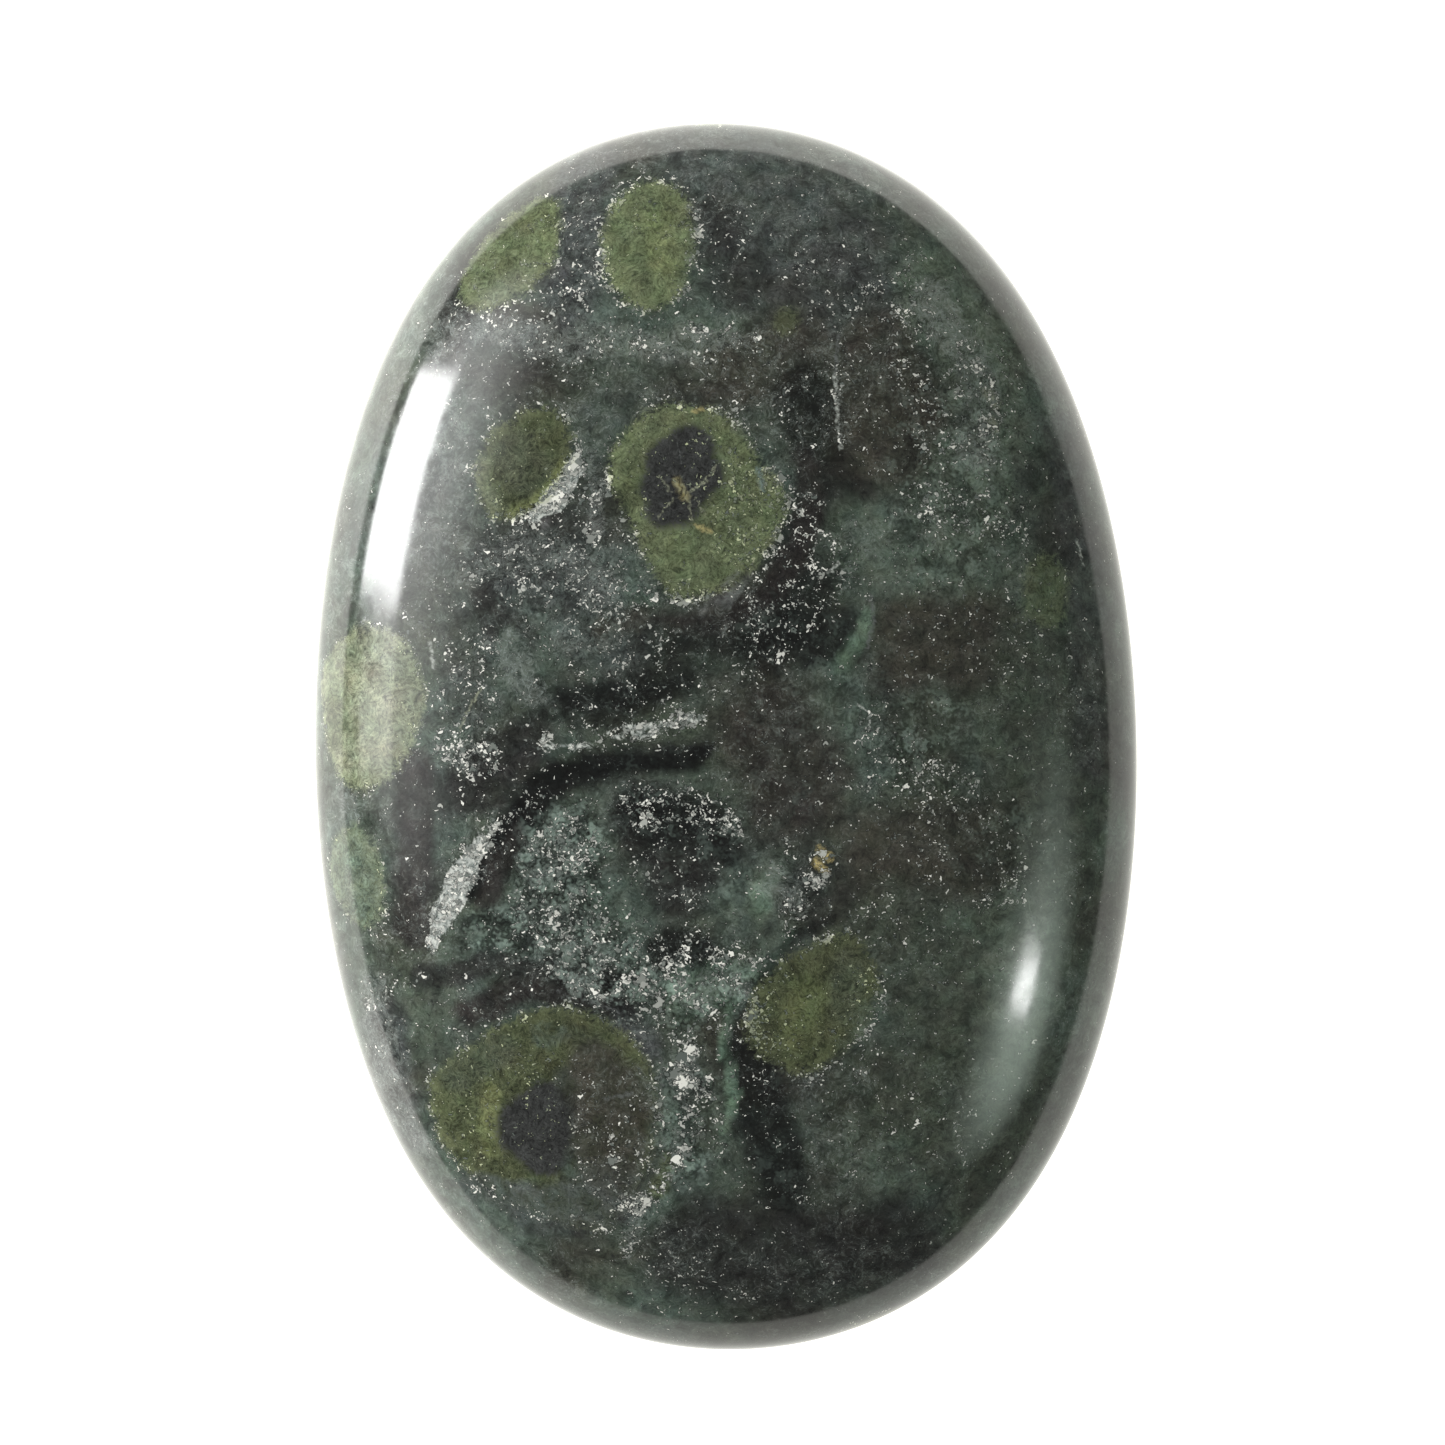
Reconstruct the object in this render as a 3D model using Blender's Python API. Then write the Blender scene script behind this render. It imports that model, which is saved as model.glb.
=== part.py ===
"""An oval worry stone of kambaba jasper, cut and polished from one piece of rock.

The stone lies on the flat of its underside with its long axis along Y. Its crown is a low
dome, its edge is rounded all the way round, and the underside has a flat that it rests on.
Run it with: blender --background --python part.py
"""

import math

import bpy

# Driving dimensions, in metres.
LENGTH = 0.0600  # tip to tip, along Y
WIDTH = 0.0402  # across the girth, along X
GIRTH_HEIGHT = 0.0066  # from the resting flat up to the widest line
CROWN_HEIGHT = 0.0070  # from the widest line up to the top of the dome

# How the hand-ground outline departs from a true ellipse.
SQUARENESS = 0.0173  # share of a third harmonic, which fills out the four shoulders
TAPER = -0.0171  # the top end is this share narrower than the middle, the bottom end wider
LEAN = -0.00036  # sideways shift of the top end, opposite at the bottom end
BOW = -0.00018  # sideways shift of both ends against the middle

# How the section runs from the middle of a face out to the girth, measured on the short half.
CROWN_POWER = 2.8  # 2 would be an ellipse, and a larger power is a flatter face
UNDERSIDE_POWER = 2.3
RESTING_FLAT_SHARE = 0.5  # share of the half-width that the flat under the stone takes

# Facets of the solid.
AROUND = 72
TOP_TO_BOTTOM = 36
LEVEL = 1e-6  # a vertex of the unit sphere this near its equator is on the girth

POLISHED_JASPER = (0.022, 0.030, 0.025, 1.0)  # linear colour, near-black green
JASPER_ROUGHNESS = 0.12
JASPER_IOR = 1.54


def clear_scene():
    for obj in list(bpy.data.objects):
        bpy.data.objects.remove(obj, do_unlink=True)


def collection_named(name):
    collection = bpy.data.collections.new(name)
    bpy.context.scene.collection.children.link(collection)
    return collection


def outline(turn):
    """A point of the girth, seen from above, at the angle turn from +X."""
    fill = 1.0 - SQUARENESS
    across = (math.cos(turn) - SQUARENESS * math.cos(3.0 * turn)) / fill
    along = (math.sin(turn) + SQUARENESS * math.sin(3.0 * turn)) / fill
    x = WIDTH / 2.0 * across * (1.0 + TAPER * along) + LEAN * along + BOW * along * along
    y = LENGTH / 2.0 * along
    return x, y


def edge_power(power, reach):
    """The section's power where the girth is reach away from the middle.

    It grows with reach, so that the rounded edge is as wide at the ends as at the sides.
    """
    return power * reach / (WIDTH / 2.0)


def crown(share, reach):
    """Height over the girth at this share of the way out from the middle to the girth."""
    return CROWN_HEIGHT * math.sqrt(max(0.0, 1.0 - share ** edge_power(CROWN_POWER, reach)))


def underside(share, reach):
    """Depth under the girth, which is level as far out as the resting flat goes."""
    past_flat = max(0.0, (share - RESTING_FLAT_SHARE) / (1.0 - RESTING_FLAT_SHARE))
    power = edge_power(UNDERSIDE_POWER, reach)
    return GIRTH_HEIGHT * math.sqrt(max(0.0, 1.0 - past_flat**power))


def stone_point(direction):
    """Where the point of the unit sphere in this direction goes on the stone."""
    share = min(1.0, math.hypot(direction.x, direction.y))
    edge_x, edge_y = outline(math.atan2(direction.y, direction.x))
    reach = math.hypot(edge_x, edge_y)
    height = 0.0
    if direction.z > LEVEL:
        height = crown(share, reach)
    elif direction.z < -LEVEL:
        height = -underside(share, reach)
    return share * edge_x, share * edge_y, GIRTH_HEIGHT + height


def centre_on_origin(mesh):
    """Slides the mesh sideways until its box stands centrally over the origin."""
    xs = [vertex.co.x for vertex in mesh.vertices]
    ys = [vertex.co.y for vertex in mesh.vertices]
    middle_x = (min(xs) + max(xs)) / 2.0
    middle_y = (min(ys) + max(ys)) / 2.0
    for vertex in mesh.vertices:
        vertex.co.x -= middle_x
        vertex.co.y -= middle_y


def polished_jasper():
    material = bpy.data.materials.new("polished kambaba jasper")
    material.use_nodes = True
    shader = material.node_tree.nodes["Principled BSDF"]
    shader.inputs["Base Color"].default_value = POLISHED_JASPER
    shader.inputs["Metallic"].default_value = 0.0
    shader.inputs["Roughness"].default_value = JASPER_ROUGHNESS
    shader.inputs["IOR"].default_value = JASPER_IOR
    return material


def make_stone(collection):
    bpy.ops.mesh.primitive_uv_sphere_add(segments=AROUND, ring_count=TOP_TO_BOTTOM, radius=1.0)
    stone = bpy.context.active_object
    stone.name = "stone"
    mesh = stone.data
    mesh.name = "stone"
    for vertex in mesh.vertices:
        vertex.co = stone_point(vertex.co)
    centre_on_origin(mesh)
    mesh.materials.append(polished_jasper())
    mesh.shade_smooth()
    for holder in list(stone.users_collection):
        holder.objects.unlink(stone)
    collection.objects.link(stone)
    return stone


def main():
    clear_scene()
    make_stone(collection_named("kambaba jasper worry stone"))


main()
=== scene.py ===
# %% [markdown]
# # A polished worry stone of kambaba jasper
# Kambaba jasper is a near-black green rock full of olive orbs with dark hearts, crossed by pale
# veins and dusted with tiny white crystals. This lesson gives a plain solid of the stone its looks.
# The solid comes from the frame, which fixes the size and the place of everything that follows.

# %% Load the frame
import math

import bmesh
import bpy
import numpy as np
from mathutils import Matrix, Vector, noise


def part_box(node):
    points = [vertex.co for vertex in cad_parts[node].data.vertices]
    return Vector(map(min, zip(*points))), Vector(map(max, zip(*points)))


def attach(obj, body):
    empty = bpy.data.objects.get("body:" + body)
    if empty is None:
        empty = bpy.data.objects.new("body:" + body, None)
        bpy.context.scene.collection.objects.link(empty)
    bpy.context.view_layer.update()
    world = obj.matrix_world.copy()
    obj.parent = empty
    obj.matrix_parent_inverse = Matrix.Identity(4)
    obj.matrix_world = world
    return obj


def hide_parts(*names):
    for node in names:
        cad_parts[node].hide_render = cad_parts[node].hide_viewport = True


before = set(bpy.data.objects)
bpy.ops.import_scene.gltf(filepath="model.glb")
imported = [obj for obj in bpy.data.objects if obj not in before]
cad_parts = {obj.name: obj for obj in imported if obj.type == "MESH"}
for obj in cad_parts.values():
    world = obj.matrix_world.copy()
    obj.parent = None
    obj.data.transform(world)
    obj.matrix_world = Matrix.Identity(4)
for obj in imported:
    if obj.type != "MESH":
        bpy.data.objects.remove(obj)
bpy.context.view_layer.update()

low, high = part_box("stone")
print("stone solid, in mm:", [round(side * 1000.0, 2) for side in high - low])

# %% [markdown]
# ## The camera and the photograph's pixels
# The photograph looks straight down on the stone, and its markings are unlike those of any other
# stone. So this lesson needs a way from a pixel of the photograph to a place on the stone. The
# outline is 1226 pixels long and the stone 60 mm, which gives the scale, and the camera then follows.
# A long lens from 30 cm away keeps the stone nearly free of perspective, as in the photograph.

# %% Camera
MM = 0.001
PHOTO_SIDE = 1445.0  # pixels
OUTLINE_LENGTH = 1226.3  # pixels, tip to tip
OUTLINE_MIDDLE = (725.9, 736.2)  # pixel at the middle of the outline
GIRTH_HEIGHT = 6.6 * MM  # the widest line of the stone, above its resting flat
CAMERA_AWAY = 300.0 * MM  # from the camera down to the girth
SENSOR = 36.0  # mm

pixel = (high.y - low.y) / OUTLINE_LENGTH  # one pixel of the photograph, in metres at the girth
camera_x = (PHOTO_SIDE / 2.0 - OUTLINE_MIDDLE[0]) * pixel
camera_y = (OUTLINE_MIDDLE[1] - PHOTO_SIDE / 2.0) * pixel

lens = bpy.data.cameras.new("copy stand camera")
lens.sensor_width = SENSOR
lens.lens = SENSOR * CAMERA_AWAY / (PHOTO_SIDE * pixel)
lens.clip_start = 10.0 * MM
camera = bpy.data.objects.new("copy stand camera", lens)
camera.location = (camera_x, camera_y, GIRTH_HEIGHT + CAMERA_AWAY)
bpy.context.scene.collection.objects.link(camera)
bpy.context.scene.camera = camera
print("lens, in mm:", round(lens.lens, 1))

# %% [markdown]
# ## The shape of the stone
# A worry stone is ground by hand from a sawn slab, so its outline is an oval that leans a little and
# its face is a low dome with a rounded edge. A sphere from the menu crowds its points at the poles.
# A cube cut into even squares and blown up into a ball spreads them evenly, and every point of the
# ball is then carried to its place on the stone. The outline and the two sections are formulas.

# %% Outline and sections
WIDTH = 40.2 * MM
LENGTH = 60.0 * MM
CROWN_HEIGHT = 7.0 * MM
SQUARENESS = 0.0173
TAPER = -0.0171
LEAN = -0.36 * MM
BOW = -0.18 * MM
CROWN_POWER = 2.8
UNDERSIDE_POWER = 2.3
RESTING_FLAT_SHARE = 0.5
TOP = GIRTH_HEIGHT + CROWN_HEIGHT


def outline(turn):
    """Points of the girth, seen from above, at the angles turn from +X."""
    fill = 1.0 - SQUARENESS
    across = (np.cos(turn) - SQUARENESS * np.cos(3.0 * turn)) / fill
    along = (np.sin(turn) + SQUARENESS * np.sin(3.0 * turn)) / fill
    x = WIDTH / 2.0 * across * (1.0 + TAPER * along) + LEAN * along + BOW * along * along
    return x, LENGTH / 2.0 * along


def crown(share, reach):
    """Height over the girth, share of the way out to a girth that is reach from the middle."""
    power = CROWN_POWER * reach / (WIDTH / 2.0)
    return CROWN_HEIGHT * np.sqrt(np.clip(1.0 - share**power, 0.0, 1.0))


def underside(share, reach):
    """Depth under the girth. It is level as far out as the resting flat goes."""
    past_flat = np.clip((share - RESTING_FLAT_SHARE) / (1.0 - RESTING_FLAT_SHARE), 0.0, 1.0)
    power = UNDERSIDE_POWER * reach / (WIDTH / 2.0)
    return GIRTH_HEIGHT * np.sqrt(np.clip(1.0 - past_flat**power, 0.0, 1.0))


# %% Mesh of the stone
SQUARES_ACROSS = 128  # on each side of the cube, which makes 196,608 triangles


def ball_of_squares(squares):
    ball = bmesh.new()
    bmesh.ops.create_cube(ball, size=2.0)
    bmesh.ops.subdivide_edges(ball, edges=ball.edges[:], cuts=squares - 1, use_grid_fill=True)
    for corner in ball.verts:
        corner.co.normalize()
    mesh = bpy.data.meshes.new("jasper_worry_stone")
    ball.to_mesh(mesh)
    ball.free()
    return mesh


def places_of(mesh):
    flat = np.zeros(len(mesh.vertices) * 3, np.float32)
    mesh.vertices.foreach_get("co", flat)
    return flat.reshape(-1, 3).astype(float)


stone_mesh = ball_of_squares(SQUARES_ACROSS)
ball = places_of(stone_mesh)
share = np.minimum(1.0, np.hypot(ball[:, 0], ball[:, 1]))
edge_x, edge_y = outline(np.arctan2(ball[:, 1], ball[:, 0]))
reach = np.hypot(edge_x, edge_y)
above = ball[:, 2] > 0.0
height = np.where(above, crown(share, reach), -underside(share, reach))
points = np.stack([share * edge_x, share * edge_y, GIRTH_HEIGHT + height], axis=1)
points[:, :2] -= (points[:, :2].min(axis=0) + points[:, :2].max(axis=0)) / 2.0
stone_mesh.vertices.foreach_set("co", points.astype(np.float32).ravel())
stone_mesh.update()
stone_mesh.shade_smooth()
stone = bpy.data.objects.new("jasper_worry_stone", stone_mesh)
bpy.context.scene.collection.objects.link(stone)
print("points on the stone:", len(points))

# %% [markdown]
# ## From the photograph to the stone
# A pixel shows the place where the camera's line of sight meets the crown. The line is walked down
# until its height and the crown's agree, which takes a few steps.

# %% A pixel's place on the stone
STEPS_DOWN = 6


def on_stone(across, down):
    """Where these pixels of the photograph lie on the stone, in mm."""
    across = np.asarray(across, float)
    down = np.asarray(down, float)
    z = np.full(across.shape, TOP)
    for _ in range(STEPS_DOWN):
        closer = (GIRTH_HEIGHT + CAMERA_AWAY - z) / CAMERA_AWAY
        x = camera_x + (across - PHOTO_SIDE / 2.0) * pixel * closer
        y = camera_y + (PHOTO_SIDE / 2.0 - down) * pixel * closer
        share_out = np.minimum(1.0, np.hypot(x / (WIDTH / 2.0), y / (LENGTH / 2.0)))
        edge = outline(np.arctan2(y / LENGTH, x / WIDTH))
        z = GIRTH_HEIGHT + crown(share_out, np.hypot(*edge))
    return np.stack([x, y, z], axis=-1) / MM


print("the middle of the photograph, in mm:", on_stone(PHOTO_SIDE / 2.0, PHOTO_SIDE / 2.0).round(2))

# %% [markdown]
# ## Reading the markings as brush strokes
# Noise alone would put the orbs and veins in random places, and a picture wrapped round the stone
# would be a copy. So the markings are painted by a few strokes, as a painter blocks in a study. A
# stroke is a line of places with a half width at each, read off the photograph in its pixels.
# The mesh keeps only how much each point is covered, and the nodes later add all fine detail.

# %% Brush
SOFT = 0.4  # of a stroke's half width, over which its edge fades on either side
FULL_DOWN_TO = 4.2  # mm under the top of the dome, as far as the face's strokes are full
FADES_OVER = 7.0  # mm, from there down, over which they run out
TINY = 1e-9  # keeps a line of no length from dividing by zero
SWIRL_SEED = 7  # without a seed, the vector noise differs in every run
noise.seed_set(SWIRL_SEED)
mm_points = points / MM
under_top = TOP / MM - mm_points[:, 2]


def wander(places, grain, reach_mm):
    """Moves places by up to reach_mm in swirls about grain mm across, so that no edge is ruled."""
    moved = np.array([noise.noise_vector(Vector(place) / grain) for place in places])
    return places + moved * reach_mm


# The outlines of orbs keep their shape, and all the rest has flowed.
steady = wander(mm_points, grain=1.1, reach_mm=0.13)
flowed = wander(mm_points, grain=3.1, reach_mm=0.45)
canvas = wander(flowed, grain=0.8, reach_mm=0.25)
face_share = np.clip(1.0 - (under_top - FULL_DOWN_TO) / FADES_OVER, 0.0, 1.0)


def smooth(value):
    value = np.clip(value, 0.0, 1.0)
    return value * value * (3.0 - 2.0 * value)


def covered(stroke, places=canvas):
    """How much of each place a stroke of (across, down, half width) covers."""
    stroke = np.array(stroke, float)
    line = on_stone(stroke[:, 0], stroke[:, 1])[:, :2]
    wide = stroke[:, 2] * pixel / MM
    nearest = np.full(len(places), np.inf)
    for start in range(max(1, len(line) - 1)):
        end = min(start + 1, len(line) - 1)
        step = line[end] - line[start]
        length_squared = max(TINY, float(step @ step))
        along = np.clip((places[:, :2] - line[start]) @ step / length_squared, 0.0, 1.0)
        off = places[:, :2] - line[start] - along[:, None] * step
        width = wide[start] + along * (wide[end] - wide[start])
        nearest = np.minimum(nearest, np.hypot(off[:, 0], off[:, 1]) / width)
    return smooth((1.0 + SOFT - nearest) / (2.0 * SOFT)) * face_share


# %% Colours, noise and layers
NOISE_CONTRAST = 0.9


def linear(code):
    """An sRGB hex colour as linear red, green and blue."""
    parts = [int(code[place : place + 2], 16) / 255.0 for place in (1, 3, 5)]
    return [part / 12.92 if part <= 0.04045 else ((part + 0.055) / 1.055) ** 2.4 for part in parts]


def noise_at(places, grain, seed):
    """A soft noise from 0 to 1 through the stone, with swirls about grain mm across."""
    shift = Vector((seed, -seed, 2.0 * seed))
    values = [noise.noise(Vector(place) / grain + shift) for place in places]
    return smooth(0.5 + NOISE_CONTRAST * np.array(values))


def mixed(under, over, amount):
    return under + (over - under) * amount[:, None]


def keep(name, values):
    """Stores one number or one triple for each point of the stone, for the nodes to read."""
    kind = "FLOAT" if values.ndim == 1 else "FLOAT_VECTOR"
    layer = stone_mesh.attributes.new(name, kind, "POINT")
    layer.data.foreach_set("value" if values.ndim == 1 else "vector", values.astype(np.float32).ravel())


# %% [markdown]
# ## The ground between the orbs
# The ground is a felt of dark minerals: blue-black, brown-grey, moss and teal, in patches that
# flow round the orbs. First a 3-D noise mixes them through the whole stone, so that its sides and
# underside are finished too. Then the strokes lay down the patches of the face, and two strokes
# along the right shoulder also paint reflections there. A stroke names one colour of a short
# palette, so that the stone can be tuned mineral by mineral.

# %% Ground colours
PALETTE = {
    "coal": "#121413",
    "night": "#2a2b2a",
    "brown": "#3b3a34",
    "umber": "#2b2928",
    "moss": "#424940",
    "fern": "#566156",
    "slate": "#434747",
    "teal": "#4b5750",
    "mint": "#738c7a",
    "ash": "#636665",
    "olive": "#414733",
    "leaf": "#59634a",
    "lime": "#6a724c",
    "straw": "#686f5d",
    "cream": "#9c9f88",
    "heart": "#323332",
    "sky": "#71858a",
    "amber": "#8f8558",
    "gold": "#c8b67c",
    "chalk": "#b9bdb6",
    "frost": "#757974",
    "thread": "#8b9490",
    "grain": "#7e8e85",
    "orb_thread": "#7f8768",
    "fringe": "#6d7454",
    "dull_vein": "#7d8480",
    "bright_vein": "#cfd1ca",
    "dull_chip": "#5d645f",
    "bright_chip": "#f4f2e9",
    "orb_chip": "#c3c9a0",
    "pocket": "#181b1b",
    "acrylic": "#a8a8a8",
    "glow": "#fffdf5",
}
GROUND_STROKES = [
    ("slate", 0.7, [(700, 150, 55), (790, 230, 85), (850, 300, 60)]),
    ("night", 0.7, [(735, 280, 30), (720, 215, 20)]),
    ("slate", 0.9, [(590, 165, 30), (577, 240, 30), (570, 310, 25)]),
    ("ash", 0.4, [(495, 335, 16), (560, 335, 18), (640, 345, 16), (740, 345, 14)]),
    ("brown", 0.8, [(500, 318, 14), (550, 315, 12)]),
    ("fern", 0.5, [(610, 345, 14), (700, 338, 16), (760, 345, 12)]),
    ("brown", 0.8, [(730, 380, 30), (790, 350, 45)]),
    ("coal", 0.8, [(810, 400, 35), (835, 480, 40), (800, 590, 40)]),
    ("brown", 0.9, [(880, 360, 45), (900, 430, 60), (940, 470, 40)]),
    ("fern", 1.0, [(930, 290, 35), (975, 350, 40), (990, 430, 38), (960, 500, 45)]),
    ("fern", 0.6, [(850, 530, 30), (920, 560, 50), (980, 570, 45)]),
    ("teal", 0.3, [(840, 545, 22), (900, 525, 24), (950, 495, 26)]),
    # Partly the stone's own green, partly painted reflection: this band traces the lamp's greenish glow on
    # the lower right shoulder.
    ("fern", 0.7, [(1030, 900, 45), (1000, 1020, 45), (930, 1120, 40)]),
    ("coal", 0.9, [(770, 645, 30), (840, 640, 28)]),
    ("brown", 0.9, [(910, 640, 45), (985, 640, 45)]),
    ("moss", 0.8, [(1040, 660, 50), (1060, 800, 50)]),
    ("moss", 0.9, [(925, 720, 35), (925, 790, 35)]),
    ("brown", 0.8, [(760, 720, 50), (800, 790, 55)]),
    ("brown", 0.9, [(890, 850, 45), (980, 850, 50)]),
    ("moss", 0.8, [(1020, 820, 40), (1060, 880, 40)]),
    # Painted reflection: this grey band follows the right shoulder, where the shoulder mirrors the room.
    ("slate", 0.6, [(1060, 430, 18), (1085, 560, 18), (1092, 760, 18)]),
    ("moss", 0.8, [(900, 940, 50), (960, 1040, 50)]),
    ("moss", 0.8, [(870, 1100, 50), (980, 1130, 50)]),
    ("night", 0.9, [(700, 1250, 50), (900, 1240, 45)]),
    ("fern", 0.35, [(830, 1170, 38), (890, 1165, 32)]),
    ("coal", 0.9, [(745, 1060, 25), (780, 1180, 30)]),
    ("slate", 0.8, [(385, 1020, 25), (400, 1130, 25)]),
    ("slate", 0.5, [(480, 620, 40), (470, 700, 30)]),
    ("night", 0.9, [(470, 780, 30), (530, 740, 25)]),
    ("slate", 0.6, [(560, 600, 35), (620, 640, 35)]),
    ("slate", 0.7, [(500, 560, 35), (580, 570, 40)]),
    ("night", 0.8, [(490, 610, 20), (520, 640, 22)]),
    ("coal", 0.45, [(650, 640, 22), (700, 635, 20), (780, 610, 35)]),
    ("teal", 0.9, [(505, 640, 12), (515, 665, 18), (528, 692, 14)]),
    ("brown", 0.8, [(600, 625, 12), (650, 612, 12)]),
    ("umber", 0.9, [(415, 760, 16), (412, 850, 22), (415, 930, 18)]),
    ("teal", 0.9, [(560, 850, 42), (560, 925, 48), (610, 985, 30)]),
    ("teal", 0.8, [(470, 935, 16), (530, 930, 30)]),
    ("teal", 0.6, [(600, 800, 14), (750, 890, 18)]),
    ("night", 0.95, [(645, 825, 38), (690, 845, 44), (680, 885, 36)]),
    ("coal", 0.8, [(640, 815, 24), (700, 820, 26), (725, 845, 18)]),
    ("night", 0.8, [(450, 800, 22), (490, 798, 20), (530, 758, 14)]),
    ("coal", 0.9, [(660, 950, 22), (700, 955, 22)]),
    ("mint", 0.8, [(690, 995, 22), (735, 985, 20)]),
    ("fern", 0.7, [(770, 878, 18), (763, 908, 12)]),
    ("mint", 0.5, [(768, 882, 10), (762, 904, 8)]),
    ("mint", 0.45, [(866, 616, 5), (858, 642, 8), (838, 668, 7)]),
    ("night", 0.9, [(420, 980, 12), (480, 968, 14), (550, 972, 14), (610, 985, 12)]),
    ("umber", 0.95, [(470, 1010, 14), (520, 995, 14), (575, 996, 11), (620, 1012, 12)]),
    ("coal", 0.9, [(565, 697, 14), (630, 694, 18), (690, 690, 10)]),
    ("coal", 1.0, [(472, 890, 14), (506, 832, 16), (545, 785, 17), (600, 769, 18), (650, 762, 17),
                   (705, 747, 12)]),
    ("umber", 0.9, [(484, 905, 10), (500, 870, 14), (515, 838, 10)]),
    ("teal", 0.7, [(655, 1080, 10), (690, 1090, 26), (690, 1150, 26), (650, 1210, 16)]),
    ("moss", 0.8, [(705, 1140, 14), (712, 1105, 10)]),
    ("mint", 0.6, [(790, 935, 5), (755, 978, 6), (738, 1002, 6), (730, 1036, 6), (731, 1108, 4),
                   (726, 1133, 3)]),
    ("lime", 0.5, [(665, 1165, 10), (652, 1190, 8)]),
    ("ash", 0.5, [(615, 1142, 7), (622, 1180, 8), (626, 1215, 6)]),
    ("slate", 0.9, [(628, 1020, 14), (650, 1045, 12)]),
    ("brown", 0.9, [(590, 1055, 24), (618, 1100, 38), (612, 1160, 34)]),
    ("slate", 0.6, [(610, 1195, 30), (545, 1212, 26), (475, 1184, 14)]),
    ("coal", 0.6, [(540, 700, 20), (620, 715, 14), (700, 650, 30), (790, 625, 24)]),
    ("umber", 0.6, [(765, 720, 40), (800, 790, 45)]),
    ("coal", 0.8, [(833, 918, 8), (785, 945, 8), (752, 985, 8), (740, 1020, 8), (738, 1060, 8)]),
    ("umber", 0.8, [(800, 455, 12), (812, 500, 14), (800, 545, 14), (770, 590, 14), (720, 618, 12),
                    (668, 616, 9)]),
    ("ash", 0.7, [(700, 606, 4), (725, 596, 6), (748, 578, 4)]),
    ("ash", 0.6, [(596, 500, 5), (598, 530, 6)]),
    ("ash", 0.6, [(540, 522, 7)]),
]

ground = np.tile(linear(PALETTE["night"]), (len(canvas), 1))
for seed, name in enumerate(["brown", "moss", "teal"]):
    ground = mixed(ground, np.array(linear(PALETTE[name])), noise_at(canvas, 6.0 - seed, 3.0 + seed))
for name, strength, stroke in GROUND_STROKES:
    ground = mixed(ground, np.array(linear(PALETTE[name])), strength * covered(stroke))
keep("ground", ground)
print("ground strokes:", len(GROUND_STROKES))

# %% [markdown]
# ## Crystals, frost, grains and veins
# Four more layers say where white crystals crowd together, where a pale frost of fine needles
# lies over the ground, where the ground breaks up into rounded grains, and where a vein runs.
# They are strokes too, each with a strength.

# %% Crystals, frost, grains and veins
CRYSTAL_STROKES = [
    (0.42, [(620, 160, 16), (590, 175, 26), (577, 240, 22), (570, 310, 25)]),
    (1.0, [(558, 284, 9), (572, 293, 9)]),
    (0.7, [(555, 212, 12), (560, 222, 8)]),
    (0.8, [(864, 291, 9), (853, 311, 9)]),
    (0.42, [(470, 325, 22), (560, 345, 24), (640, 340, 22), (745, 345, 20)]),
    (0.4, [(500, 560, 45), (580, 590, 55), (640, 650, 45)]),
    (0.55, [(520, 565, 20), (560, 590, 14), (610, 580, 12)]),
    (0.5, [(470, 660, 30), (470, 760, 40)]),
    (0.75, [(450, 745, 20), (470, 752, 16)]),
    (0.55, [(560, 850, 50), (560, 925, 55), (640, 980, 40)]),
    (0.8, [(640, 808, 18), (690, 805, 20), (728, 825, 14)]),
    (0.35, [(650, 850, 34), (690, 880, 30)]),
    (0.9, [(605, 985, 16), (655, 975, 22), (700, 955, 20)]),
    (1.0, [(824, 860, 11), (814, 882, 10), (805, 906, 6)]),
    (0.75, [(800, 900, 14), (790, 930, 10)]),
    (0.9, [(760, 1000, 5), (756, 1030, 7), (772, 1052, 6)]),
    (0.9, [(776, 976, 4), (795, 965, 4)]),
    (0.9, [(815, 948, 2.5), (845, 937, 2.5)]),
    (1.0, [(986, 398, 8), (993, 425, 9)]),
    (0.9, [(961, 343, 9), (976, 367, 10), (993, 396, 10), (990, 425, 12)]),
    (0.7, [(1008, 355, 10)]),
    (0.45, [(900, 300, 30), (940, 430, 40)]),
    (0.55, [(930, 500, 25), (1000, 520, 30)]),
    (0.4, [(880, 700, 20), (885, 790, 20)]),
    (1.0, [(888, 745, 6)]),
    (1.0, [(690, 1050, 12), (680, 1078, 16), (705, 1092, 14)]),
    (1.0, [(686, 1152, 9), (660, 1180, 6), (636, 1208, 9)]),
    (0.9, [(629, 1251, 8), (640, 1230, 6)]),
    (0.5, [(370, 985, 14), (385, 1040, 18), (395, 1100, 16), (430, 1155, 8)]),
    (0.8, [(695, 1110, 12), (690, 1140, 10)]),
    (0.8, [(572, 461, 6), (560, 490, 8), (539, 508, 6), (525, 514, 5)]),
    (0.5, [(615, 1142, 10), (624, 1215, 12)]),
    (0.6, [(590, 560, 14), (600, 500, 10)]),
    (0.5, [(1000, 880, 35)]),
    (0.5, [(960, 800, 30), (900, 760, 25)]),
    (0.6, [(690, 1010, 40), (730, 960, 30)]),
    (0.5, [(750, 500, 60), (820, 560, 40), (760, 640, 40)]),
    (0.5, [(780, 975, 10), (762, 1010, 10), (770, 1045, 10)]),
    (0.75, [(600, 600, 14), (640, 600, 12), (668, 590, 12), (700, 588, 8)]),
]
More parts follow.
